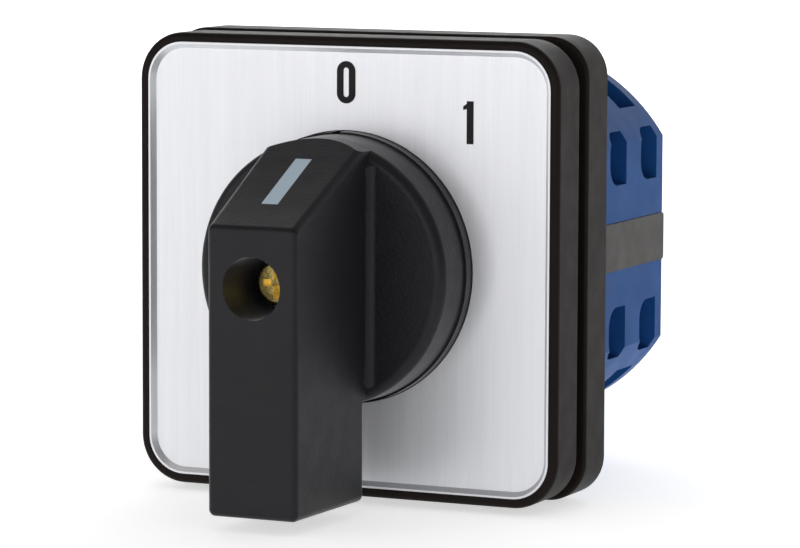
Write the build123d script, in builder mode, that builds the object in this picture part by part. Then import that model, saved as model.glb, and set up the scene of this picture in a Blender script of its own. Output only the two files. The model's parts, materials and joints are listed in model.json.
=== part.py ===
"""Panel-mounted two-position cam switch with a square face and a turning lever.

Millimetres. The origin is on the shaft axis, on the back face of the bezel, where the panel lies.
The face looks along -Y, +X is to the right of somebody facing it and +Z is up.
The stack runs from the lever in front (-Y) to the rear cover (+Y).
"""
import os
from math import atan, cos, degrees, pi, radians, sin, sqrt

from build123d import *

os.makedirs("parts", exist_ok=True)

# ---- bezel, legend plate and mounting plate -------------------------------------------------
FACE = 48.0                    # side of the square face
FACE_R = 5.0                   # corner radius of the face
BEZEL_DEPTH = 5.4
RIM_W = 0.95                   # width of the dark rim round the legend plate
RIM_ROUND = 0.6
BEZEL_FLOOR_Y = (-3.9, -2.0)   # front and back of the bezel's floor
BEZEL_WALL = 1.9
PLATE_LIP_W = 0.66             # bevelled lip of the legend plate
PLATE_LIP_Y = -5.3
PLATE_FIELD_Y = -4.7
PLATE_HOLE_R = 14.29           # round hole that the knob's skirt turns in
MARK_HEIGHT = 4.4              # printed digits
MARK_STROKE = 0.74
ZERO_W = 2.1
ZERO_AT = (-0.12, 19.25)
ONE_AT = (13.9, 15.52)         # middle of the stem of the 1
FLAG_REACH = 0.4               # the 1's flag: its reach past the stem, its fall and its underside
FLAG_FALL = 0.55
FLAG_UNDER = 0.7
PRINT_THICK = 0.06
PANEL_GAP = 2.05               # thickness of the panel that is clamped
MOUNT_SIDE = 48.36
MOUNT_R = 4.3
MOUNT_DEPTH = 5.8
MOUNT_CHAMFER = 0.5
FIXING_PITCH = 36.0            # square pattern of the four panel screws
FIXING_HOLE_R = 2.25
NUT_POCKET_R = 4.1
NUT_POCKET_DEPTH = 3.2
COLLAR_R = 11.0
COLLAR_BORE_R = 5.6
COLLAR_Y = (-3.0, 3.5)
COLLAR_SEAT_R = COLLAR_R + 0.05

# ---- lever knob -----------------------------------------------------------------------------
SKIRT_R = 14.19                # thin skirt under the disc, which stands in the plate's hole
SKIRT_Y = -4.5
SKIRT_NICK_W = 0.8             # small nick in the top of the skirt
SKIRT_NICK_X = -0.65
SKIRT_NICK_FLOOR_R = 13.6
DISC_Y = (-6.1, -11.43)        # base and face of the disc
DISC_R = (13.95, 13.89)        # radius at the base and at the face
DISC_ROUND = 1.0
LEVER_FRONT_Y = -27.0
LEVER_TAIL_Y = -11.9           # rear face of the overhanging tail
LEVER_HALF_W = (5.55, 4.95)    # half width at the root and at the front
LEVER_TIP_Z = -23.2
LEVER_ROUND = 0.7
LEVER_ROOT_ROUND = 1.0         # hollow fillet between the lever and the disc
LEVER_ROOT_DEPTH = 3.0         # how far the lever is rooted below the disc's face
FACET_FOOT_Z = 6.07            # where the sloping facet leaves the front face
FACET_ANGLE = 26.5             # slope of the facet, from the shaft's direction
MARK_W = 1.8                   # pale line let into the facet
MARK_SPAN = (4.6, 13.4)        # its two ends, along the facet from the foot
MARK_DEPTH = 0.3
KNOB_HOLE_R = 3.18
KNOB_HOLE_FLOOR_Y = -19.2
KNOB_HUB_R = 9.5
KNOB_HUB_Y = -3.4
SCREW_HEAD_R = 2.4
SCREW_HEAD_H = 2.0
SCREW_R = 1.5
SPRING_WASHER_H = 0.5
DRIVER_SLOT = 0.7              # width of all driver slots
DRIVER_CROSS = 3.0             # span of the cross recess in the knob's screw

# ---- shaft and rear body --------------------------------------------------------------------
SHAFT_SIDE = 6.0
SHAFT_Y = (-17.5, 38.9)
HUB_R = 5.2                    # round hubs that turn in the housings
HUB_CLEARANCE = 0.06
BODY_R = 21.1
BODY_HALF = 17.8               # half width between the two flat flanks
DETENT_DEPTH = 12.4
DECK_DEPTH = 9.2
DECK_COUNT = 2
COVER_DEPTH = 2.4
WALL = 1.5
DETENT_Y = PANEL_GAP + MOUNT_DEPTH
DECK_Y = [DETENT_Y + DETENT_DEPTH + i * DECK_DEPTH for i in range(DECK_COUNT)]
COVER_Y = DECK_Y[-1] + DECK_DEPTH
REAR_Y = COVER_Y + COVER_DEPTH
TIE_X = 13.0                   # the two long screws, left and right of the shaft
TIE_R = 1.5
TIE_HEAD_R = 2.8
TIE_HEAD_H = 1.8
TIE_NUT_ACROSS = 5.5
TIE_NUT_THICK = 2.4
LABEL_HALF_H = 2.65
LABEL_GROOVE = 0.8
LABEL_PROUD = 0.1

# ---- detent and stop ------------------------------------------------------------------------
TURN = 45.0                    # lever travel between the two positions, degrees
STAR_R = 7.4
STAR_LOBE = 0.5
STAR_LOBES = 8
STAR_Y = (10.0, 15.4)
STOP_Y = (16.2, 19.2)
STOP_RING_R = 12.6
STOP_LUG_R = 10.0
STOP_LUG_HALF = 12.0           # half angle of the lug, degrees
STOP_PLAY = 2.0                # angle left before the lug touches, degrees
SLIDER_HALF_W = 3.6
SLIDER_CLEARANCE = 0.2
SLIDER_TAIL_Z = 15.2
SLIDER_NOSE_R = 1.6
DETENT_SPRING_Z = 18.9

# ---- contact system, the same in every deck -------------------------------------------------
CAM_HIGH = 7.2
CAM_LIFT = 1.55
CAM_CHAMBER_R = 8.0
PLUNGER_TIP_GAP = 0.15
PLUNGER_HALF_W = 2.4
BRIDGE_Z = 15.4                # underside of the contact bridge with the contacts open
BRIDGE_HALF = 7.5
BRIDGE_THICK = 0.8
BUTTON_X = 6.0
BUTTON_R = 1.3
BUTTON_H = 0.7
SPRING_SEAT_Z = 19.5
SPRING_R = 1.6
SPRING_WIRE = 0.45
TERMINAL_Z = 9.6               # height of the terminal screws above and below the shaft
TERMINAL_SLOT = 4.85           # depth of the terminal chambers, from each deck's rear face
TERMINAL_HALF_H = 2.9
CHAMBER_X = (9.2, 15.2)        # inner and outer wall of each terminal chamber
STRIP_X = 10.5                 # outer face of the fixed contact strip
STRIP_THICK = 1.1
CLAMP_GAP = 0.8
CLAMP_THICK = 1.0
TERMINAL_HEAD_R = 2.2
TERMINAL_HEAD_H = 1.6
TERMINAL_SCREW_R = 1.4
STRIP_FOOT_Z = 11.85           # mid height of the foot of each contact strip
PIECE_DEPTH = 4.4              # depth of the plungers and contact strips, front to back
PEG_R = 0.9
SCREW_WAY_ROUND = 2.2          # front corners of the screwdriver ways in the flanks
QUADRANTS = [(1, 1), (-1, 1), (1, -1), (-1, -1)]
SIDES = {"upper": 1, "lower": -1}


def facing(y):
    """The upright plane at this Y. A sketch on it has X to the right and Z up, seen from the front."""
    return Plane.XZ.offset(-y)


def keep(piece, label):
    """Label a finished piece and write it."""
    piece.part.label = label
    export_step(piece.part, f"parts/{label}.step")


def body_outline(margin=0.0):
    """Section of the rear body: a circle cut by two flanks, in the current sketch."""
    Circle(BODY_R + margin)
    Rectangle(2 * (BODY_HALF + margin), 4 * BODY_R, mode=Mode.INTERSECT)


def label_grooves():
    """The shallow grooves down both flanks that hold the label strips, in the current sketch."""
    with Locations((BODY_HALF, 0), (-BODY_HALF, 0)):
        Rectangle(2 * LABEL_GROOVE, 2 * LABEL_HALF_H, mode=Mode.SUBTRACT)


# ---- front: bezel, legend plate, marks, collar, mounting plate --------------------------------
recess_side = FACE - 2 * RIM_W
with BuildPart() as bezel_frame:
    with BuildSketch(facing(0)):
        RectangleRounded(FACE, FACE, FACE_R)
    extrude(amount=BEZEL_DEPTH)
    fillet(bezel_frame.faces().sort_by(Axis.Y)[0].edges(), RIM_ROUND)
    with BuildSketch(facing(BEZEL_FLOOR_Y[0])):
        RectangleRounded(recess_side, recess_side, FACE_R - RIM_W)
    extrude(amount=BEZEL_DEPTH, mode=Mode.SUBTRACT)
    with BuildSketch(facing(BEZEL_FLOOR_Y[1])):
        RectangleRounded(FACE - 2 * BEZEL_WALL, FACE - 2 * BEZEL_WALL, FACE_R - BEZEL_WALL)
        Circle(COLLAR_R + BEZEL_WALL, mode=Mode.SUBTRACT)
        with GridLocations(FIXING_PITCH, FIXING_PITCH, 2, 2):
            Circle(FIXING_HOLE_R + BEZEL_WALL, mode=Mode.SUBTRACT)
        Rectangle(FACE, BEZEL_WALL, mode=Mode.SUBTRACT)
        Rectangle(BEZEL_WALL, FACE, mode=Mode.SUBTRACT)
    extrude(amount=BEZEL_FLOOR_Y[1], mode=Mode.SUBTRACT)
    with BuildSketch(facing(0)):
        Circle(COLLAR_SEAT_R)
        with GridLocations(FIXING_PITCH, FIXING_PITCH, 2, 2):
            Circle(FIXING_HOLE_R)
    extrude(amount=BEZEL_DEPTH, mode=Mode.SUBTRACT)
keep(bezel_frame, "bezel_frame")

plate_side = recess_side - 0.1
field_side = plate_side - 2 * PLATE_LIP_W
lip_height = PLATE_FIELD_Y - PLATE_LIP_Y
with BuildPart() as legend_plate:
    with BuildSketch(facing(BEZEL_FLOOR_Y[0])):
        RectangleRounded(plate_side, plate_side, FACE_R - RIM_W - 0.05)
    extrude(amount=BEZEL_FLOOR_Y[0] - PLATE_LIP_Y)
    with BuildSketch(facing(PLATE_FIELD_Y)):
        RectangleRounded(field_side, field_side, FACE_R - RIM_W - PLATE_LIP_W)
    extrude(amount=lip_height, taper=-degrees(atan(0.45 / lip_height)), mode=Mode.SUBTRACT)
    with BuildSketch(facing(0)):
        Circle(PLATE_HOLE_R)
    extrude(amount=BEZEL_DEPTH, mode=Mode.SUBTRACT)
keep(legend_plate, "legend_plate")

one_x, one_z = ONE_AT
stem_left = one_x - MARK_STROKE / 2
stem_top = one_z + MARK_HEIGHT / 2
with BuildPart() as position_marks:
    with BuildSketch(facing(PLATE_FIELD_Y)):
        with Locations(ZERO_AT):
            SlotOverall(MARK_HEIGHT, ZERO_W, rotation=90)
            SlotOverall(
                MARK_HEIGHT - 1.8 * MARK_STROKE, ZERO_W - 2 * MARK_STROKE, rotation=90, mode=Mode.SUBTRACT
            )
        with Locations(ONE_AT):
            Rectangle(MARK_STROKE, MARK_HEIGHT)
        with BuildLine():
            Polyline(
                (stem_left + MARK_STROKE / 2, stem_top),
                (stem_left - FLAG_REACH, stem_top - FLAG_FALL),
                (stem_left - FLAG_REACH, stem_top - FLAG_FALL - MARK_STROKE / 2),
                (stem_left + MARK_STROKE / 2, stem_top - FLAG_UNDER),
                close=True,
            )
        make_face()
    extrude(amount=PRINT_THICK)
keep(position_marks, "position_marks")

with BuildPart() as panel_collar:
    with BuildSketch(facing(COLLAR_Y[1])):
        Circle(COLLAR_R)
        Circle(COLLAR_BORE_R, mode=Mode.SUBTRACT)
    extrude(amount=COLLAR_Y[1] - COLLAR_Y[0])
    chamfer(panel_collar.faces().sort_by(Axis.Y)[0].edges(), 0.3)
keep(panel_collar, "panel_collar")

with BuildPart() as mounting_plate:
    with BuildSketch(facing(DETENT_Y)):
        RectangleRounded(MOUNT_SIDE, MOUNT_SIDE, MOUNT_R)
    extrude(amount=MOUNT_DEPTH)
    chamfer(mounting_plate.faces().sort_by(Axis.Y)[-1].edges(), MOUNT_CHAMFER)
    fillet(mounting_plate.faces().sort_by(Axis.Y)[0].edges(), 0.35)
    with BuildSketch(facing(COLLAR_Y[1])):
        Circle(COLLAR_SEAT_R)
    extrude(amount=MOUNT_DEPTH, mode=Mode.SUBTRACT)
    with BuildSketch(facing(DETENT_Y)):
        Circle(COLLAR_R - 2)
        with GridLocations(FIXING_PITCH, FIXING_PITCH, 2, 2):
            Circle(FIXING_HOLE_R)
        with Locations((TIE_X, 0), (-TIE_X, 0)):
            Circle(TIE_R + 0.1)
    extrude(amount=MOUNT_DEPTH, mode=Mode.SUBTRACT)
    with BuildSketch(facing(DETENT_Y)):
        with GridLocations(FIXING_PITCH, FIXING_PITCH, 2, 2):
            RegularPolygon(NUT_POCKET_R, 6)
    extrude(amount=NUT_POCKET_DEPTH, mode=Mode.SUBTRACT)
    with BuildSketch(facing(DETENT_Y)):
        with Locations((TIE_X, 0), (-TIE_X, 0)):
            Rectangle(TIE_NUT_ACROSS + 0.1, TIE_NUT_ACROSS + 0.1)
    extrude(amount=TIE_NUT_THICK, mode=Mode.SUBTRACT)
keep(mounting_plate, "mounting_plate")

# ---- lever knob with its mark and screw -------------------------------------------------------
facet_plane = Plane(
    origin=(0, LEVER_FRONT_Y, FACET_FOOT_Z),
    x_dir=(1, 0, 0),
    z_dir=(0, -sin(radians(FACET_ANGLE)), cos(radians(FACET_ANGLE))),
)
lever_root_y = DISC_Y[1] + LEVER_ROOT_DEPTH
lever_slope = (LEVER_HALF_W[0] - LEVER_HALF_W[1]) / (lever_root_y - LEVER_FRONT_Y)
lever_foot_x = LEVER_HALF_W[0] - lever_slope * (lever_root_y - DISC_Y[1])
fillet_axis_x = lever_foot_x - lever_slope * LEVER_ROOT_ROUND + LEVER_ROOT_ROUND
with BuildPart() as lever_root:
    for side in (1, -1):
        with BuildSketch(Plane.XY):
            with Locations((side * lever_foot_x, DISC_Y[1])):
                Rectangle(2 * LEVER_ROOT_ROUND, 2 * LEVER_ROOT_ROUND)
            with Locations((side * fillet_axis_x, DISC_Y[1] - LEVER_ROOT_ROUND)):
                Circle(LEVER_ROOT_ROUND, mode=Mode.SUBTRACT)
        extrude(amount=DISC_R[0], both=True)
    # Both strips run out before the disc's rounded rim.
    with BuildSketch(facing(DISC_Y[1] + LEVER_ROOT_ROUND)):
        Circle(DISC_R[1])
    extrude(amount=2 * LEVER_ROOT_ROUND, taper=45, mode=Mode.INTERSECT)
with BuildPart() as knob_handle:
    with BuildSketch(facing(lever_root_y)):
        with Locations((0, (LEVER_TIP_Z + DISC_R[1]) / 2)):
            Rectangle(2 * LEVER_HALF_W[0], DISC_R[1] - LEVER_TIP_Z)
    with BuildSketch(facing(LEVER_FRONT_Y)):
        with Locations((0, (LEVER_TIP_Z + DISC_R[1]) / 2)):
            Rectangle(2 * LEVER_HALF_W[1], DISC_R[1] - LEVER_TIP_Z)
    loft()
    # The upper end of the lever follows the disc's edge.
    with BuildSketch(facing(lever_root_y)):
        with Locations((0, BODY_R)):
            Rectangle(4 * LEVER_HALF_W[0], 2 * BODY_R)
        Circle(DISC_R[1], mode=Mode.SUBTRACT)
    extrude(amount=lever_root_y - LEVER_FRONT_Y, mode=Mode.SUBTRACT)
    # The sloping facet.
    with BuildSketch(facet_plane):
        Rectangle(BODY_R, 4 * BODY_R)
    extrude(amount=BODY_R, mode=Mode.SUBTRACT)
    # The tail overhangs the disc.
    with BuildSketch(facing(lever_root_y + 0.5)):
        with Locations((0, -BODY_R)):
            Rectangle(4 * LEVER_HALF_W[0], 2 * BODY_R)
        Circle(DISC_R[1] - 0.4, mode=Mode.SUBTRACT)
    extrude(amount=lever_root_y + 0.5 - LEVER_TAIL_Y, mode=Mode.SUBTRACT)
    lever_edges = knob_handle.edges().filter_by(lambda edge: edge.center().Y < LEVER_TAIL_Y + 0.3)
    fillet(lever_edges, LEVER_ROUND)
    add(lever_root.part)
    with BuildSketch(Plane.XY):
        with BuildLine():
            Polyline(
                (0, SKIRT_Y), (SKIRT_R, SKIRT_Y), (SKIRT_R, DISC_Y[0]),
                (DISC_R[0], DISC_Y[0]), (DISC_R[1], DISC_Y[1]), (0, DISC_Y[1]),
                close=True,
            )
        disc_section = make_face()
        fillet(disc_section.vertices().sort_by(Axis.Y)[:2].sort_by(Axis.X)[-1], DISC_ROUND)
    revolve(axis=Axis.Y)
    with Locations((SKIRT_NICK_X, (SKIRT_Y + DISC_Y[0]) / 2, SKIRT_NICK_FLOOR_R + 1)):
        Box(SKIRT_NICK_W, SKIRT_Y - DISC_Y[0], 2, mode=Mode.SUBTRACT)
    with BuildSketch(facing(KNOB_HUB_Y)):
        Circle(KNOB_HUB_R)
    extrude(amount=KNOB_HUB_Y - SKIRT_Y)
    with BuildSketch(facing(KNOB_HUB_Y)):
        Rectangle(SHAFT_SIDE + 0.06, SHAFT_SIDE + 0.06)
    extrude(amount=KNOB_HUB_Y - SHAFT_Y[0], mode=Mode.SUBTRACT)
    with BuildSketch(facing(SHAFT_Y[0])):
        Circle(SCREW_R + 0.15)
    extrude(amount=SHAFT_Y[0] - KNOB_HOLE_FLOOR_Y, mode=Mode.SUBTRACT)
    with BuildSketch(facing(KNOB_HOLE_FLOOR_Y)):
        Circle(KNOB_HOLE_R)
    extrude(amount=KNOB_HOLE_FLOOR_Y - LEVER_FRONT_Y + 1, mode=Mode.SUBTRACT)
    with BuildSketch(facet_plane):
        with Locations((0, sum(MARK_SPAN) / 2)):
            Rectangle(MARK_W, MARK_SPAN[1] - MARK_SPAN[0])
    extrude(amount=-MARK_DEPTH, mode=Mode.SUBTRACT)
keep(knob_handle, "knob_handle")

with BuildPart() as knob_indicator:
    with BuildSketch(facet_plane):
        with Locations((0, sum(MARK_SPAN) / 2)):
            Rectangle(MARK_W, MARK_SPAN[1] - MARK_SPAN[0])
    extrude(amount=-MARK_DEPTH)
keep(knob_indicator, "knob_indicator")

screw_seat_y = KNOB_HOLE_FLOOR_Y - SPRING_WASHER_H
with BuildPart() as knob_screw:
    with BuildSketch(facing(screw_seat_y)):
        Circle(SCREW_HEAD_R)
    extrude(amount=SCREW_HEAD_H - SPRING_WASHER_H)
    fillet(knob_screw.faces().sort_by(Axis.Y)[0].edges(), 0.5)
    with BuildSketch(facing(SHAFT_Y[0] + 8)):
        Circle(SCREW_R)
    extrude(amount=SHAFT_Y[0] + 8 - screw_seat_y)
    with BuildSketch(facing(screw_seat_y - SCREW_HEAD_H)):
        Rectangle(DRIVER_CROSS, DRIVER_SLOT)
        Rectangle(DRIVER_SLOT, DRIVER_CROSS)
    extrude(amount=-(SCREW_HEAD_H - 0.6), mode=Mode.SUBTRACT)
keep(knob_screw, "knob_screw")

with BuildPart() as knob_screw_washer:
    with BuildSketch(facing(KNOB_HOLE_FLOOR_Y)):
        Circle(SCREW_HEAD_R + 0.3)
        Circle(SCREW_R + 0.12, mode=Mode.SUBTRACT)
    extrude(amount=SPRING_WASHER_H)
keep(knob_screw_washer, "knob_screw_washer")

with BuildPart() as shaft:
    with BuildSketch(facing(SHAFT_Y[1])):
        Rectangle(SHAFT_SIDE, SHAFT_SIDE)
    extrude(amount=SHAFT_Y[1] - SHAFT_Y[0])
    chamfer(shaft.faces().sort_by(Axis.Y)[0].edges(), 0.5)
    with BuildSketch(facing(SHAFT_Y[0])):
        Circle(SCREW_R)
    extrude(amount=-8.5, mode=Mode.SUBTRACT)
keep(shaft, "shaft")


def shaft_hole():
    """Square hole for the shaft, cut from the current sketch."""
    Rectangle(SHAFT_SIDE + 0.04, SHAFT_SIDE + 0.04, mode=Mode.SUBTRACT)


# ---- detent and stop --------------------------------------------------------------------------
slider_mid_y = sum(STAR_Y) / 2
slider_thick = STAR_Y[1] - STAR_Y[0] - 0.4
channel_half = SLIDER_HALF_W + SLIDER_CLEARANCE
with BuildPart() as detent_housing:
    with BuildSketch(facing(DETENT_Y + DETENT_DEPTH)):
        body_outline()
        label_grooves()
    extrude(amount=DETENT_DEPTH)
    # Chamber of the star wheel and the two sliders.
    with BuildSketch(facing(STAR_Y[1] + 0.3)):
        Circle(STAR_R + 0.6)
        Rectangle(2 * channel_half, 2 * DETENT_SPRING_Z)
    extrude(amount=STAR_Y[1] - STAR_Y[0] + 0.6, mode=Mode.SUBTRACT)
    # Pocket of the stop ring, open to the rear.
    with BuildSketch(facing(DETENT_Y + DETENT_DEPTH)):
        Circle(STOP_RING_R)
        Rectangle(2 * channel_half, 2 * DETENT_SPRING_Z)
        with Locations((TIE_X, 0), (-TIE_X, 0)):
            Circle(TIE_R + 1.5, mode=Mode.SUBTRACT)
    extrude(amount=DETENT_Y + DETENT_DEPTH - STAR_Y[1] - 0.3, mode=Mode.SUBTRACT)
    with BuildSketch(facing(DETENT_Y + DETENT_DEPTH)):
        Circle(HUB_R + HUB_CLEARANCE)
        with Locations((TIE_X, 0), (-TIE_X, 0)):
            Circle(TIE_R + 0.1)
    extrude(amount=DETENT_DEPTH, mode=Mode.SUBTRACT)
keep(detent_housing, "detent_housing")


def star_radius(angle):
    """Radius of the star wheel, which has a hollow under each slider in both positions."""
    return STAR_R - STAR_LOBE / 2 * (1 + cos(STAR_LOBES * radians(angle)))


def closed_curve(radius_at, step):
    """A smooth closed outline in the current line builder, from its radius at each angle."""
    points = []
    for angle in range(0, 360, step):
        radius = radius_at(angle)
        points.append((radius * sin(radians(angle)), radius * cos(radians(angle))))
    Spline(*points, periodic=True)


with BuildPart() as star_wheel:
    with BuildSketch(facing(STAR_Y[1])):
        with BuildLine():
            closed_curve(star_radius, 5)
        make_face()
        shaft_hole()
    extrude(amount=STAR_Y[1] - STAR_Y[0])
    with BuildSketch(facing(STAR_Y[0])):
        Circle(HUB_R)
        shaft_hole()
    extrude(amount=STAR_Y[0] - DETENT_Y - 0.1)
keep(star_wheel, "star_wheel")

slider_nose_z = STAR_R + 0.15
for side, up in SIDES.items():
    with BuildPart() as detent_slider:
        with BuildSketch(facing(slider_mid_y + slider_thick / 2)):
            with Locations((0, up * (slider_nose_z + SLIDER_NOSE_R))):
                Circle(SLIDER_NOSE_R)
            with Locations((0, up * (slider_nose_z + SLIDER_NOSE_R + 0.8))):
                Rectangle(2 * SLIDER_NOSE_R, 1.6)
            body_foot = slider_nose_z + SLIDER_NOSE_R + 1.2
            with Locations((0, up * (body_foot + SLIDER_TAIL_Z) / 2)):
                Rectangle(2 * SLIDER_HALF_W, SLIDER_TAIL_Z - body_foot)
        extrude(amount=slider_thick)
        with BuildSketch(Plane.XY.offset(up * SLIDER_TAIL_Z)):
            with Locations((0, slider_mid_y)):
                Circle(SPRING_R + 0.35)
        extrude(amount=-up * 2.4, mode=Mode.SUBTRACT)
    keep(detent_slider, f"detent_slider_{side}")

stop_window = STOP_LUG_HALF + STOP_PLAY
with BuildPart() as stop_ring:
    with BuildSketch(facing(STOP_Y[1])):
        Circle(STOP_RING_R - 0.1)
        with Locations((TIE_X, 0), (-TIE_X, 0)):
            Circle(TIE_R + 1.7, mode=Mode.SUBTRACT)
        Circle(HUB_R + 0.5, mode=Mode.SUBTRACT)
        with BuildLine():
            reach = STOP_LUG_R + 0.4
            first = 90 + stop_window
            last = 90 - TURN - stop_window
            outer = CenterArc((0, 0), reach, last, first - last)
            Line(outer @ 1, (0, 0))
            Line((0, 0), outer @ 0)
        make_face(mode=Mode.SUBTRACT)
    extrude(amount=STOP_Y[1] - STOP_Y[0])
keep(stop_ring, "stop_ring")

with BuildPart() as stop_arm:
    with BuildSketch(facing(STOP_Y[1] - 0.2)):
        with BuildLine():
            lug = CenterArc((0, 0), STOP_LUG_R, 90 - STOP_LUG_HALF, 2 * STOP_LUG_HALF)
            Line(lug @ 1, (0, 0))
            Line((0, 0), lug @ 0)
        make_face()
        Circle(HUB_R)
        shaft_hole()
    extrude(amount=STOP_Y[1] - STOP_Y[0] - 0.4)
keep(stop_arm, "stop_arm")


def coil_spring(name, start_z, end_z, mid_y, radius, turns, up):
    """A compression spring on the vertical line through mid_y, between two heights."""
    length = end_z - start_z - SPRING_WIRE
    with BuildPart() as spring:
        centre = (0, mid_y, up * (start_z + SPRING_WIRE / 2))
        with BuildLine():
            coil = Helix(length / turns, length, radius, center=centre, direction=(0, 0, up))
        with BuildSketch(Plane(origin=coil @ 0, z_dir=coil % 0)):
            Circle(SPRING_WIRE / 2)
        sweep(path=coil, is_frenet=True)
    keep(spring, name)


for side, up in SIDES.items():
    coil_spring(f"detent_spring_{side}", SLIDER_TAIL_Z - 2.35, DETENT_SPRING_Z - 0.05,
                slider_mid_y, SPRING_R, 6, up)


# ---- contact decks ----------------------------------------------------------------------------
def cam_radius(angle):
    """Radius of the cam at an angle from the top, towards +X; the two halves are alike.

    Turning the lever brings the falling flank under each plunger, so the plunger drops evenly.
    """
    turned = (-angle) % 180
    low = CAM_HIGH - CAM_LIFT
    flat_end = TURN + 15
    rise = 35
    if turned > 170:
        return CAM_HIGH
    if turned <= TURN:
        return CAM_HIGH - CAM_LIFT * turned / TURN
    if turned <= flat_end:
        return low
    if turned <= flat_end + rise:
        return low + CAM_LIFT * (1 - cos(pi * (turned - flat_end) / rise)) / 2
    return CAM_HIGH


def make_deck_housing(name, front_y):
    """One moulded deck: a front wall, and chambers open to the rear."""
    rear_y = front_y + DECK_DEPTH
    foot_x = (BUTTON_X - BUTTON_R - 0.4, CHAMBER_X[0] + 0.5)
    with BuildPart() as deck_housing:
        with BuildSketch(facing(rear_y)):
            body_outline()
            label_grooves()
        extrude(amount=DECK_DEPTH)
        with BuildSketch(facing(rear_y)):
            Circle(CAM_CHAMBER_R)
        extrude(amount=DECK_DEPTH - WALL, mode=Mode.SUBTRACT)
        with BuildSketch(facing(rear_y)):
            # Plunger channel and the two contact bridge chambers.
            Rectangle(2 * PLUNGER_HALF_W + 0.3, 2 * SPRING_SEAT_Z)
            with Locations((0, BRIDGE_Z), (0, -BRIDGE_Z)):
                Rectangle(2 * BRIDGE_HALF + 0.6, 4.6)
            for side_x, side_z in QUADRANTS:
                # Way for the foot of the contact strip.
                with Locations((side_x * sum(foot_x) / 2, side_z * (STRIP_FOOT_Z + 0.2))):
                    Rectangle(foot_x[1] - foot_x[0], 2.6)
                # Terminal chamber, open at the shoulder for the wire.
                with Locations((side_x * sum(CHAMBER_X) / 2, side_z * (TERMINAL_Z - TERMINAL_HALF_H + 8))):
                    Rectangle(CHAMBER_X[1] - CHAMBER_X[0], 16)
        extrude(amount=TERMINAL_SLOT, mode=Mode.SUBTRACT)
        # Screwdriver ways through both flanks, rounded towards the front.
        for side_x in (1, -1):
            with BuildSketch(Plane.YZ.offset(side_x * (BODY_HALF + 1))):
                with Locations((rear_y - TERMINAL_SLOT / 2 + 1, TERMINAL_Z),
                               (rear_y - TERMINAL_SLOT / 2 + 1, -TERMINAL_Z)):
                    Rectangle(TERMINAL_SLOT + 2, 2 * TERMINAL_HALF_H)
                fillet(vertices().group_by(Axis.X)[0], SCREW_WAY_ROUND)
            extrude(amount=-side_x * (BODY_HALF + 1.5 - CHAMBER_X[1]), mode=Mode.SUBTRACT)
        with BuildSketch(facing(rear_y)):
            Circle(HUB_R + HUB_CLEARANCE)
            with Locations((TIE_X, 0), (-TIE_X, 0)):
                Circle(TIE_R + 0.1)
        extrude(amount=DECK_DEPTH, mode=Mode.SUBTRACT)
    keep(deck_housing, name)


def make_cam(name, front_y):
    """The cam of one deck, with the round hub that turns in the deck's front wall."""
    rear_y = front_y + DECK_DEPTH
    with BuildPart() as cam:
        with BuildSketch(facing(rear_y - 0.3)):
            with BuildLine():
                closed_curve(cam_radius, 5)
            make_face()
            shaft_hole()
        extrude(amount=TERMINAL_SLOT - 0.4)
        with BuildSketch(facing(rear_y - TERMINAL_SLOT + 0.1)):
            Circle(HUB_R)
            shaft_hole()
        extrude(amount=DECK_DEPTH - TERMINAL_SLOT)
    keep(cam, name)


def make_plunger(name, mid_y, up):
    """A plunger that rides on the cam and carries the contact bridge on its peg."""
    nose_r = 0.9
    tip_z = CAM_HIGH + PLUNGER_TIP_GAP
    shoulder_z = tip_z + 1.8
    with BuildPart() as plunger:
        with BuildSketch(facing(mid_y + PIECE_DEPTH / 2)):
            with Locations((0, up * (tip_z + nose_r))):
                Circle(nose_r)
            with Locations((0, up * (tip_z + nose_r + shoulder_z) / 2)):
                Rectangle(2 * nose_r, shoulder_z - tip_z - nose_r)
            with Locations((0, up * (shoulder_z + BRIDGE_Z) / 2)):
                Rectangle(2 * PLUNGER_HALF_W, BRIDGE_Z - shoulder_z)
        extrude(amount=PIECE_DEPTH)
        with BuildSketch(Plane.XY.offset(up * BRIDGE_Z)):
            with Locations((0, mid_y)):
                Circle(PEG_R)
        extrude(amount=up * (BRIDGE_THICK + 0.9))
    keep(plunger, name)


def make_bridge(name, mid_y, up):
    """A contact bridge: a flat bar with a contact button under each end."""
    with BuildPart() as bridge:
        with BuildSketch(Plane.XY.offset(up * BRIDGE_Z)):
            with Locations((0, mid_y)):
                RectangleRounded(2 * BRIDGE_HALF, 3.2, 0.6)
                Circle(PEG_R + 0.05, mode=Mode.SUBTRACT)
        extrude(amount=up * BRIDGE_THICK)
        with BuildSketch(Plane.XY.offset(up * BRIDGE_Z)):
            with Locations((BUTTON_X, mid_y), (-BUTTON_X, mid_y)):
                Circle(BUTTON_R)
        extrude(amount=-up * BUTTON_H)
    keep(bridge, name)


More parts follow.
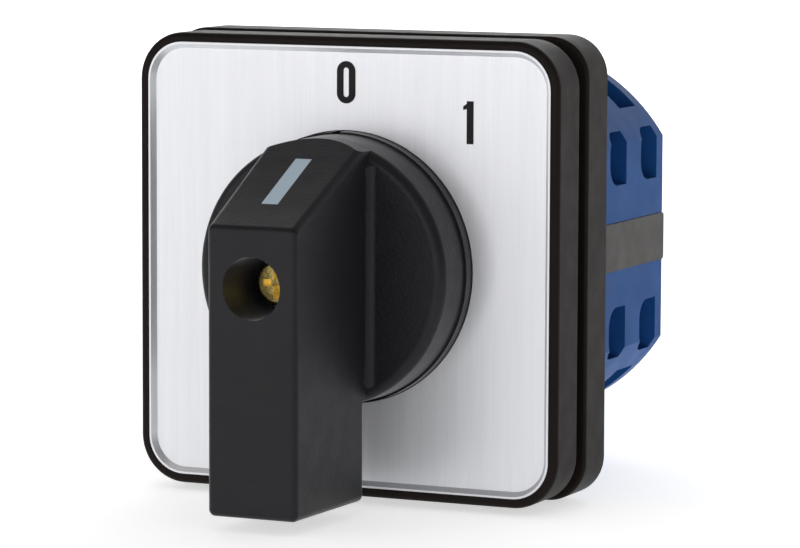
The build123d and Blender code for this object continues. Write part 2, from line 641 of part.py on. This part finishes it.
def make_fixed_contacts(name, mid_y):
    """The four fixed contacts of a deck: a tapped upright plate, a foot and a contact button."""
    foot_x = BUTTON_X - BUTTON_R
    with BuildPart() as fixed_contacts:
        with BuildSketch(facing(mid_y + PIECE_DEPTH / 2)):
            for side_x, side_z in QUADRANTS:
                upright_low = TERMINAL_Z - TERMINAL_HALF_H + 0.2
                upright_high = STRIP_FOOT_Z + STRIP_THICK / 2
                with Locations((side_x * (STRIP_X - STRIP_THICK / 2), side_z * (upright_low + upright_high) / 2)):
                    Rectangle(STRIP_THICK, upright_high - upright_low)
                with Locations((side_x * (foot_x + STRIP_X) / 2, side_z * STRIP_FOOT_Z)):
                    Rectangle(STRIP_X - foot_x, STRIP_THICK)
        extrude(amount=PIECE_DEPTH)
        for side_z in (1, -1):
            with BuildSketch(Plane.XY.offset(side_z * (STRIP_FOOT_Z + STRIP_THICK / 2))):
                with Locations((BUTTON_X, mid_y), (-BUTTON_X, mid_y)):
                    Circle(BUTTON_R)
            extrude(amount=side_z * BUTTON_H)
        with BuildSketch(Plane.YZ):
            with Locations((mid_y, TERMINAL_Z), (mid_y, -TERMINAL_Z)):
                Circle(TERMINAL_SCREW_R)
        extrude(amount=STRIP_X, both=True, mode=Mode.SUBTRACT)
    keep(fixed_contacts, name)


def make_clamp_washers(name, mid_y):
    """The four square washers that press the wires onto the fixed contacts."""
    with BuildPart() as clamp_washers:
        for side_x in (1, -1):
            with BuildSketch(Plane.YZ.offset(side_x * (STRIP_X + CLAMP_GAP))):
                with Locations((mid_y, TERMINAL_Z), (mid_y, -TERMINAL_Z)):
                    RectangleRounded(PIECE_DEPTH, 5.2, 0.4)
                    Circle(TERMINAL_SCREW_R + 0.1, mode=Mode.SUBTRACT)
            extrude(amount=side_x * CLAMP_THICK)
    keep(clamp_washers, name)


def make_terminal_screws(name, mid_y):
    """The four slotted terminal screws of a deck, with their heads towards the flanks."""
    head_x = STRIP_X + CLAMP_GAP + CLAMP_THICK
    with BuildPart() as terminal_screws:
        for side_x in (1, -1):
            with BuildSketch(Plane.YZ.offset(side_x * (STRIP_X - STRIP_THICK))):
                with Locations((mid_y, TERMINAL_Z), (mid_y, -TERMINAL_Z)):
                    Circle(TERMINAL_SCREW_R)
            extrude(amount=side_x * (head_x - STRIP_X + STRIP_THICK))
            with BuildSketch(Plane.YZ.offset(side_x * head_x)):
                with Locations((mid_y, TERMINAL_Z), (mid_y, -TERMINAL_Z)):
                    Circle(TERMINAL_HEAD_R)
            extrude(amount=side_x * TERMINAL_HEAD_H)
            with BuildSketch(Plane.YZ.offset(side_x * (head_x + TERMINAL_HEAD_H))):
                with Locations((mid_y, TERMINAL_Z), (mid_y, -TERMINAL_Z)):
                    Rectangle(DRIVER_SLOT, 2 * TERMINAL_HEAD_R)
            extrude(amount=-side_x * 0.8, mode=Mode.SUBTRACT)
    keep(terminal_screws, name)


for number, deck_y in enumerate(DECK_Y, start=1):
    terminal_y = deck_y + DECK_DEPTH - TERMINAL_SLOT / 2
    make_deck_housing(f"deck_housing_{number}", deck_y)
    make_cam(f"cam_{number}", deck_y)
    make_fixed_contacts(f"fixed_contacts_{number}", terminal_y)
    make_clamp_washers(f"clamp_washers_{number}", terminal_y)
    make_terminal_screws(f"terminal_screws_{number}", terminal_y)
    for side, up in SIDES.items():
        make_plunger(f"plunger_{number}_{side}", terminal_y, up)
        make_bridge(f"contact_bridge_{number}_{side}", terminal_y, up)
        coil_spring(f"contact_spring_{number}_{side}", BRIDGE_Z + BRIDGE_THICK + 0.05, SPRING_SEAT_Z - 0.05,
                    terminal_y, SPRING_R, 3, up)

# ---- rear cover, long screws and label strips ---------------------------------------------------
with BuildPart() as rear_cover:
    with BuildSketch(facing(REAR_Y)):
        body_outline()
    extrude(amount=COVER_DEPTH)
    chamfer(rear_cover.faces().sort_by(Axis.Y)[-1].edges(), 0.5)
    with BuildSketch(facing(REAR_Y)):
        with Locations((BODY_HALF, 0), (-BODY_HALF, 0)):
            Rectangle(2 * LABEL_GROOVE, 2 * LABEL_HALF_H)
        with Locations((TIE_X, 0), (-TIE_X, 0)):
            Circle(TIE_R + 0.1)
    extrude(amount=COVER_DEPTH, mode=Mode.SUBTRACT)
    with BuildSketch(facing(REAR_Y)):
        with Locations((TIE_X, 0), (-TIE_X, 0)):
            Circle(TIE_HEAD_R + 0.25)
    extrude(amount=TIE_HEAD_H, mode=Mode.SUBTRACT)
    with BuildSketch(facing(SHAFT_Y[1] + 0.3)):
        Circle(SHAFT_SIDE / sqrt(2) + 0.2)
    extrude(amount=COVER_DEPTH, mode=Mode.SUBTRACT)
keep(rear_cover, "rear_cover")

with BuildPart() as tie_screws:
    with BuildSketch(facing(REAR_Y - 0.1)):
        with Locations((TIE_X, 0), (-TIE_X, 0)):
            Circle(TIE_HEAD_R)
    extrude(amount=TIE_HEAD_H - 0.1)
    with BuildSketch(facing(REAR_Y - TIE_HEAD_H)):
        with Locations((TIE_X, 0), (-TIE_X, 0)):
            Circle(TIE_R)
    extrude(amount=REAR_Y - TIE_HEAD_H - DETENT_Y + TIE_NUT_THICK + 0.8)
    with BuildSketch(facing(REAR_Y - 0.1)):
        with Locations((TIE_X, 0), (-TIE_X, 0)):
            Rectangle(DRIVER_SLOT, 1.2 * TIE_HEAD_R)
            Rectangle(1.2 * TIE_HEAD_R, DRIVER_SLOT)
    extrude(amount=1.0, mode=Mode.SUBTRACT)
keep(tie_screws, "tie_screws")

with BuildPart() as tie_nuts:
    with BuildSketch(facing(DETENT_Y - 0.05)):
        with Locations((TIE_X, 0), (-TIE_X, 0)):
            Rectangle(TIE_NUT_ACROSS, TIE_NUT_ACROSS)
            Circle(TIE_R, mode=Mode.SUBTRACT)
    extrude(amount=TIE_NUT_THICK - 0.1)
keep(tie_nuts, "tie_nuts")

for side, side_x in {"right": 1, "left": -1}.items():
    with BuildPart() as terminal_label:
        with BuildSketch(Plane.YZ.offset(side_x * (BODY_HALF - LABEL_GROOVE))):
            label_mid_y = (DETENT_Y + REAR_Y) / 2
            with Locations((label_mid_y, 0)):
                RectangleRounded(REAR_Y - DETENT_Y - 0.4, 2 * LABEL_HALF_H - 0.06, 0.4)
        extrude(amount=side_x * (LABEL_GROOVE + LABEL_PROUD))
    keep(terminal_label, f"terminal_label_{side}")
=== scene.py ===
"""Looks of a panel-mounted cam switch: finishes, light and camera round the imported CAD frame."""
import json
from math import cos, radians, sin

import bpy
from mathutils import Matrix, Vector


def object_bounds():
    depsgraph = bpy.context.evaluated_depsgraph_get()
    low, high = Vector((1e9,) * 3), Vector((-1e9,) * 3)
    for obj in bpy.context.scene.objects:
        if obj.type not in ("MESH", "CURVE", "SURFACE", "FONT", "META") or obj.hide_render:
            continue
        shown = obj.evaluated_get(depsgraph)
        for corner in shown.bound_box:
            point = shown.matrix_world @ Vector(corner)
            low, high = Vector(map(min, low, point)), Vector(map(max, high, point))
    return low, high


MM = 0.001
NOISE_MIDDLE = (0.3, 0.7)      # the part of a noise's range that holds most of its values

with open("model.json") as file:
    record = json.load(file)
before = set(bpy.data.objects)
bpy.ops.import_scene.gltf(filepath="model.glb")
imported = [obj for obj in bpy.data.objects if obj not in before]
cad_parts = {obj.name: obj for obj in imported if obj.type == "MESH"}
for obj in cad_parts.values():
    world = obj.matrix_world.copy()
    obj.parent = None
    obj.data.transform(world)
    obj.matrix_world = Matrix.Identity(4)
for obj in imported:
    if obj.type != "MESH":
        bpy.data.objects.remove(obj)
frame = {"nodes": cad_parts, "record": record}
nodes = frame["nodes"]
size_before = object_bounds()


# ---- finishes ---------------------------------------------------------------------------------
class Finish:
    """A material under construction, with short ways to add and join its nodes."""

    def __init__(self, name):
        self.material = bpy.data.materials.new(name)
        self.material.use_nodes = True
        self.tree = self.material.node_tree
        self.shader = self.tree.nodes["Principled BSDF"]
        self.place = self.tree.nodes.new("ShaderNodeTexCoord").outputs["Object"]

    def add(self, kind, **sockets):
        """A new node, with values or links for its inputs."""
        node = self.tree.nodes.new(kind)
        for name, value in sockets.items():
            self.feed(node.inputs[name.replace("_", " ")], value)
        return node

    def feed(self, socket, value):
        """Link the socket if the value is another node's output, or else set it."""
        if isinstance(value, bpy.types.NodeSocket):
            self.tree.links.new(value, socket)
        else:
            socket.default_value = value

    def set(self, **sockets):
        """Values or links for the shader's inputs."""
        for name, value in sockets.items():
            self.feed(self.shader.inputs[name.replace("_", " ")], value)

    def stretched(self, scale):
        """The object's own coordinates, scaled along each axis."""
        mapping = self.add("ShaderNodeMapping", Vector=self.place)
        mapping.inputs["Scale"].default_value = scale
        return mapping.outputs["Vector"]

    def noise(self, scale, detail=3.0, rough=0.5, stretch=None):
        """Noise over the object's own coordinates, in metres, drawn out along an axis if asked."""
        where = self.stretched(stretch) if stretch else self.place
        node = self.add("ShaderNodeTexNoise", Vector=where, Scale=scale, Detail=detail, Roughness=rough)
        return node.outputs["Fac"]

    def ramp(self, factor, low, high, start=0.35, end=0.65):
        """A blend from one colour to another."""
        node = self.add("ShaderNodeValToRGB", Fac=factor)
        node.color_ramp.elements[0].position = start
        node.color_ramp.elements[1].position = end
        node.color_ramp.elements[0].color = (*low, 1)
        node.color_ramp.elements[1].color = (*high, 1)
        return node.outputs["Color"]

    def spread(self, factor, low, high):
        """The middle of a noise's range, spread over low to high."""
        node = self.add("ShaderNodeMapRange", Value=factor)
        node.inputs["From Min"].default_value, node.inputs["From Max"].default_value = NOISE_MIDDLE
        node.inputs["To Min"].default_value = low
        node.inputs["To Max"].default_value = high
        return node.outputs["Result"]

    def bump(self, height, depth, strength=1.0):
        """A normal from a height, with its depth in millimetres."""
        node = self.add("ShaderNodeBump", Height=height, Strength=strength, Distance=depth * MM)
        return node.outputs["Normal"]

    def blend(self, kind, factor, first, second):
        """A mix of two numbers or of two colours."""
        node = self.add("ShaderNodeMix", Factor=factor)
        node.data_type = kind
        sockets = [socket for socket in node.inputs if socket.enabled and socket.name in ("A", "B")]
        self.feed(sockets[0], first)
        self.feed(sockets[1], second)
        return next(socket for socket in node.outputs if socket.enabled)


def shade(color, factor):
    """The colour made darker or lighter."""
    return tuple(factor * c for c in color)


def moulded(name, color, rough, grain=0.012, grain_scale=5200, mottling=0.12, specular=0.25, sheen=0.0):
    """Moulded plastic: faint cloudiness in colour, fine spark grain and slow sheen changes."""
    f = Finish(name)
    clouds = f.noise(160, detail=4)
    grains = f.noise(grain_scale, detail=2, rough=0.6)
    waves = f.noise(420, detail=3)
    f.set(
        Base_Color=f.ramp(clouds, shade(color, 1 - mottling), shade(color, 1 + mottling)),
        Roughness=f.spread(waves, rough - 0.04, rough + 0.05),
        Specular_IOR_Level=specular,
        Sheen_Weight=sheen,
        Sheen_Roughness=0.25,
        Normal=f.bump(grains, grain),
    )
    return f.material


def metal(name, color, rough, scale=2500, depth=0.004, stain=0.12):
    """Worked metal: small marks, stains and uneven sheen."""
    f = Finish(name)
    marks = f.noise(scale, detail=4, rough=0.7)
    stains = f.noise(300, detail=5)
    f.set(
        Base_Color=f.ramp(stains, shade(color, 1 - stain), color),
        Metallic=1.0,
        Roughness=f.spread(marks, rough - 0.07, rough + 0.1),
        Normal=f.bump(marks, depth, 0.8),
    )
    return f.material


def brushed_plate():
    """Silver legend plate, brushed up and down."""
    f = Finish("brushed_plate")
    fine = f.noise(9000, detail=3, rough=0.7, stretch=(1, 1, 0.012))
    broad = f.noise(900, detail=4, rough=0.6, stretch=(1, 1, 0.03))
    cloud = f.noise(60, detail=3)
    streaks = f.blend("FLOAT", 0.4, fine, broad)
    tone = f.ramp(streaks, (0.75, 0.76, 0.79), (0.85, 0.86, 0.89), *NOISE_MIDDLE)
    f.set(
        Base_Color=f.blend("RGBA", f.spread(cloud, 0.0, 0.12), tone, (0.62, 0.63, 0.66, 1)),
        Metallic=0.55,
        Roughness=f.spread(fine, 0.30, 0.42),
        Specular_IOR_Level=0.5,
        Normal=f.bump(fine, 0.004, 0.6),
    )
    return f.material


NEAR_BLACK = (0.009, 0.006, 0.005)
SOFT_BLACK = (0.010, 0.007, 0.0055)
CHARCOAL = (0.006, 0.006, 0.0085)

FINISHES = {
    "dark_bezel": moulded("dark_bezel", NEAR_BLACK, 0.5, grain=0.010, specular=0.10),
    "brushed_plate": brushed_plate(),
    "dark_print": moulded("dark_print", (0.006, 0.006, 0.007), 0.6, grain=0.003, grain_scale=9000),
    "dark_moulding": moulded("dark_moulding", SOFT_BLACK, 0.5, grain=0.010, specular=0.10),
    "knob_plastic": moulded(
        "knob_plastic", CHARCOAL, 0.42, grain=0.030, grain_scale=3000, specular=0.27, sheen=0.5
    ),
    "pale_mark": moulded("pale_mark", (0.55, 0.68, 0.78), 0.45, grain=0.004, mottling=0.04),
    "blue_body": moulded(
        "blue_body", (0.014, 0.080, 0.27), 0.42, grain=0.006, mottling=0.08, specular=0.05
    ),
    "label_strip": moulded("label_strip", (0.030, 0.026, 0.024), 0.45, grain=0.004),
    "brass_screw": metal("brass_screw", (0.86, 0.66, 0.22), 0.22, scale=2600, depth=0.010, stain=0.05),
    "contact_brass": metal("contact_brass", (0.70, 0.50, 0.24), 0.3),
    "zinc_steel": metal("zinc_steel", (0.60, 0.60, 0.58), 0.32),
    "spring_steel": metal("spring_steel", (0.45, 0.45, 0.46), 0.35, scale=4000),
    "pale_plastic": moulded("pale_plastic", (0.72, 0.70, 0.64), 0.45, mottling=0.05),
}

for part in frame["record"]["subparts"]:
    node = nodes.get(part["node"])
    if node is not None:
        node.data.materials.clear()
        node.data.materials.append(FINISHES[part["material_slot"]])


# ---- floor, light and camera ------------------------------------------------------------------
low, high = size_before
centre = (low + high) / 2
FLOOR_Z = low.z - 0.5 * MM
FLOOR_HALF_WIDTH = 1.6
FLOOR_FRONT_Y, FLOOR_BACK_Y = -1.2, 0.5
FLOOR_CURVE = 0.5              # radius of the sweep's curve behind the object
FLOOR_TOP = 1.3
CURVE_STEPS = 24


def floor():
    """A plain pale sweep, flat under the object and curved up far behind it."""
    profile = [(FLOOR_FRONT_Y, 0.0), (FLOOR_BACK_Y, 0.0)]
    for i in range(1, CURVE_STEPS + 1):
        turn = radians(90) * i / CURVE_STEPS
        profile.append((FLOOR_BACK_Y + FLOOR_CURVE * sin(turn), FLOOR_CURVE * (1 - cos(turn))))
    profile.append((FLOOR_BACK_Y + FLOOR_CURVE, FLOOR_TOP))
    vertices = [(x, y, z + FLOOR_Z) for y, z in profile for x in (-FLOOR_HALF_WIDTH, FLOOR_HALF_WIDTH)]
    faces = [(2 * i, 2 * i + 1, 2 * i + 3, 2 * i + 2) for i in range(len(profile) - 1)]
    mesh = bpy.data.meshes.new("floor")
    mesh.from_pydata(vertices, [], faces)
    for face in mesh.polygons:
        face.use_smooth = True
    sweep = bpy.data.objects.new("floor", mesh)
    bpy.context.scene.collection.objects.link(sweep)
    f = Finish("floor")
    f.set(
        Base_Color=f.ramp(f.noise(3), (0.90, 0.90, 0.90), (0.93, 0.93, 0.93)),
        Roughness=0.9,
        Emission_Color=(1, 1, 1, 1),
        Emission_Strength=0.58,
    )
    mesh.materials.append(f.material)


def panel(name, place, target, width, height, power, color=(1, 1, 1)):
    """A soft rectangular light."""
    light = bpy.data.lights.new(name, "AREA")
    light.shape = "RECTANGLE"
    light.size = width
    light.size_y = height
    light.energy = power
    light.color = color
    holder = bpy.data.objects.new(name, light)
    holder.location = place
    holder.rotation_mode = "QUATERNION"
    holder.rotation_quaternion = (Vector(target) - Vector(place)).to_track_quat("-Z", "Y")
    bpy.context.scene.collection.objects.link(holder)


floor()
# Key and fill stand left and right of the camera; the backdrop light brightens the sweep behind.
panel("key", (-0.36, -0.76, 0.04), centre, 0.9, 0.7, 2.3, (1.0, 0.985, 1.0))
panel("front_fill", (0.26, -0.85, -0.06), centre, 0.7, 0.6, 1.5, (0.99, 0.99, 1.0))
panel("top", (-0.1, -0.25, 0.8), centre, 0.6, 0.4, 0.2, (1.0, 0.8, 0.68))
panel("backdrop", (-0.45, 0.95, 0.75), (-0.5, 1.2, 0.0), 1.0, 0.5, 6.0)

world = bpy.data.worlds.new("studio")
bpy.context.scene.world = world
world.use_nodes = True
world.node_tree.nodes["Background"].inputs["Color"].default_value = (1, 1, 1, 1)
world.node_tree.nodes["Background"].inputs["Strength"].default_value = 0.3

# The camera looks from the right and a little above, through a long lens.
YAW, PITCH, ROLL = radians(24.475), radians(6.371), radians(0.205)
CAMERA_AT = Vector((177.374, -381.02, 45.737)) * MM
SENSOR_WIDTH, LENS = 36.0, 180.88
forward = Vector((-sin(YAW) * cos(PITCH), cos(YAW) * cos(PITCH), -sin(PITCH)))
level = Vector((cos(YAW), sin(YAW), 0))
upright = level.cross(forward)
right = cos(ROLL) * level + sin(ROLL) * upright
up = -sin(ROLL) * level + cos(ROLL) * upright
camera = bpy.data.objects.new("camera", bpy.data.cameras.new("camera"))
camera.matrix_world = Matrix((
    (right.x, up.x, -forward.x, CAMERA_AT.x),
    (right.y, up.y, -forward.y, CAMERA_AT.y),
    (right.z, up.z, -forward.z, CAMERA_AT.z),
    (0, 0, 0, 1),
))
camera.data.sensor_width = SENSOR_WIDTH
camera.data.lens = LENS
camera.data.clip_start = 0.01
camera.data.clip_end = 20
bpy.context.scene.collection.objects.link(camera)
bpy.context.scene.camera = camera
bpy.context.scene.view_settings.view_transform = "Standard"
